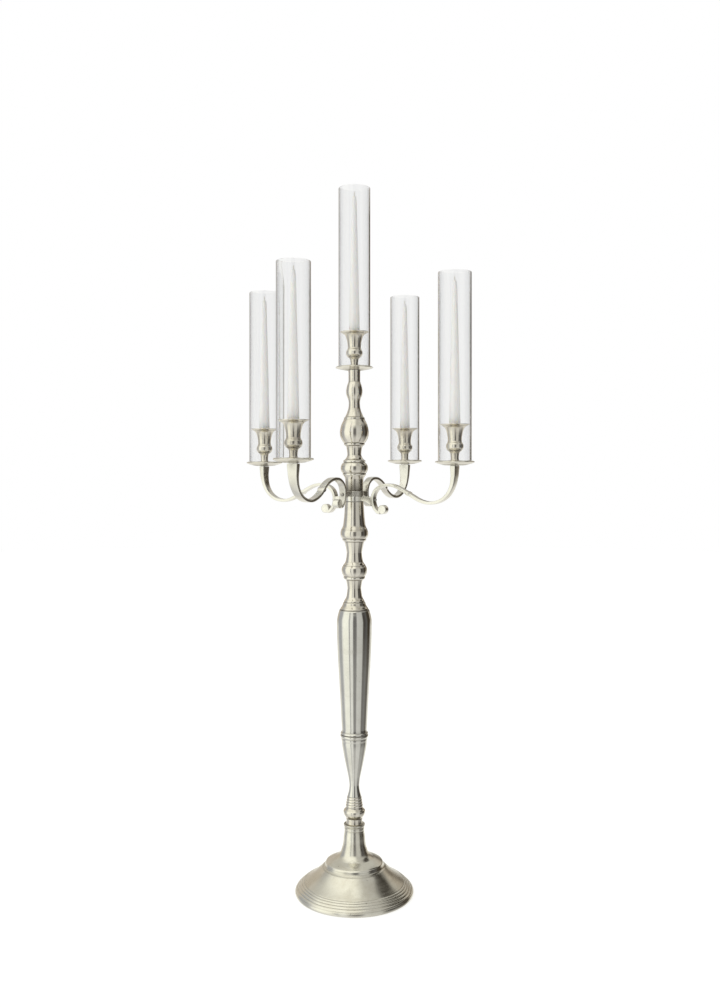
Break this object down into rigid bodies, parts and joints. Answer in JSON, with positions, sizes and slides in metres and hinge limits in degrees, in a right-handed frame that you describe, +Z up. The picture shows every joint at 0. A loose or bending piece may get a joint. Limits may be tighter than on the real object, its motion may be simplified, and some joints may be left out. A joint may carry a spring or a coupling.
{
  "type": "tabletop candelabra",
  "caption": "Tall nickel-plated candelabra with a turned baluster stem on a stepped domed foot, scroll arms, drip plates, urn cups, taper candles and clear glass chimneys.",
  "frame": {"origin": "centre of the felt pad's underside, on the table", "axes": "+Z up along the stem; the upper pair of arms lies along Y and the lower pair along X"},
  "size_m": [0.514, 0.514, 1.4079],
  "materials": {
    "satin_nickel": "satin",
    "steel": "satin",
    "cast_iron": "rough",
    "felt": "matte",
    "clear_glass": "gloss",
    "wax": "satin",
    "cotton": "matte"
  },
  "bodies": {
    "stand": {"base_foot": "satin_nickel", "base_weight": "cast_iron", "felt_pad": "felt", "base_washer": "steel", "base_nut": "steel", "tie_rod": "steel", "foot_collar": "satin_nickel", "ribbed_knop": "satin_nickel", "trumpet_stem": "satin_nickel", "tapered_baluster": "satin_nickel", "neck_flare": "satin_nickel", "waisted_stem": "satin_nickel", "upper_column": "satin_nickel", "knop_stem": "satin_nickel", "pear_stem": "satin_nickel", "centre_drip_plate": "satin_nickel", "centre_candle_cup": "satin_nickel"},
    "upper_arms": {"upper_hub_ring": "satin_nickel", "front_arm": "satin_nickel", "front_arm_screw": "steel", "front_drip_plate": "satin_nickel", "front_candle_cup": "satin_nickel", "front_cup_stud": "steel", "back_arm": "satin_nickel", "back_arm_screw": "steel", "back_drip_plate": "satin_nickel", "back_candle_cup": "satin_nickel", "back_cup_stud": "steel"},
    "lower_arms": {"lower_hub_ring": "satin_nickel", "right_arm": "satin_nickel", "right_arm_screw": "steel", "right_drip_plate": "satin_nickel", "right_candle_cup": "satin_nickel", "right_cup_stud": "steel", "left_arm": "satin_nickel", "left_arm_screw": "steel", "left_drip_plate": "satin_nickel", "left_candle_cup": "satin_nickel", "left_cup_stud": "steel"},
    "centre_chimney_body": {"centre_chimney": "clear_glass"},
    "centre_candle_body": {"centre_candle": "wax", "centre_wick": "cotton"},
    "front_chimney_body": {"front_chimney": "clear_glass"},
    "front_candle_body": {"front_candle": "wax", "front_wick": "cotton"},
    "back_chimney_body": {"back_chimney": "clear_glass"},
    "back_candle_body": {"back_candle": "wax", "back_wick": "cotton"},
    "right_chimney_body": {"right_chimney": "clear_glass"},
    "right_candle_body": {"right_candle": "wax", "right_wick": "cotton"},
    "left_chimney_body": {"left_chimney": "clear_glass"},
    "left_candle_body": {"left_candle": "wax", "left_wick": "cotton"}
  },
  "joints": [
    {"name": "upper_arms_swing", "type": "hinge", "parent": "stand", "child": "upper_arms", "pos_m": [0, 0, 0.7981], "axis": [0, 0, 1], "range_deg": [-30, 30]},
    {"name": "lower_arms_swing", "type": "hinge", "parent": "stand", "child": "lower_arms", "pos_m": [0, 0, 0.78745], "axis": [0, 0, 1], "range_deg": [-30, 30]},
    {"name": "centre_chimney_lift", "type": "slide", "parent": "stand", "child": "centre_chimney_body", "axis": [0, 0, 1], "range_m": [0, 0.36]},
    {"name": "centre_candle_lift", "type": "slide", "parent": "stand", "child": "centre_candle_body", "axis": [0, 0, 1], "range_m": [0, 0.33]},
    {"name": "front_chimney_lift", "type": "slide", "parent": "upper_arms", "child": "front_chimney_body", "axis": [0, 0, 1], "range_m": [0, 0.36]},
    {"name": "front_candle_lift", "type": "slide", "parent": "upper_arms", "child": "front_candle_body", "axis": [0, 0, 1], "range_m": [0, 0.33]},
    {"name": "back_chimney_lift", "type": "slide", "parent": "upper_arms", "child": "back_chimney_body", "axis": [0, 0, 1], "range_m": [0, 0.36]},
    {"name": "back_candle_lift", "type": "slide", "parent": "upper_arms", "child": "back_candle_body", "axis": [0, 0, 1], "range_m": [0, 0.33]},
    {"name": "right_chimney_lift", "type": "slide", "parent": "lower_arms", "child": "right_chimney_body", "axis": [0, 0, 1], "range_m": [0, 0.36]},
    {"name": "right_candle_lift", "type": "slide", "parent": "lower_arms", "child": "right_candle_body", "axis": [0, 0, 1], "range_m": [0, 0.33]},
    {"name": "left_chimney_lift", "type": "slide", "parent": "lower_arms", "child": "left_chimney_body", "axis": [0, 0, 1], "range_m": [0, 0.36]},
    {"name": "left_candle_lift", "type": "slide", "parent": "lower_arms", "child": "left_candle_body", "axis": [0, 0, 1], "range_m": [0, 0.33]}
  ]
}
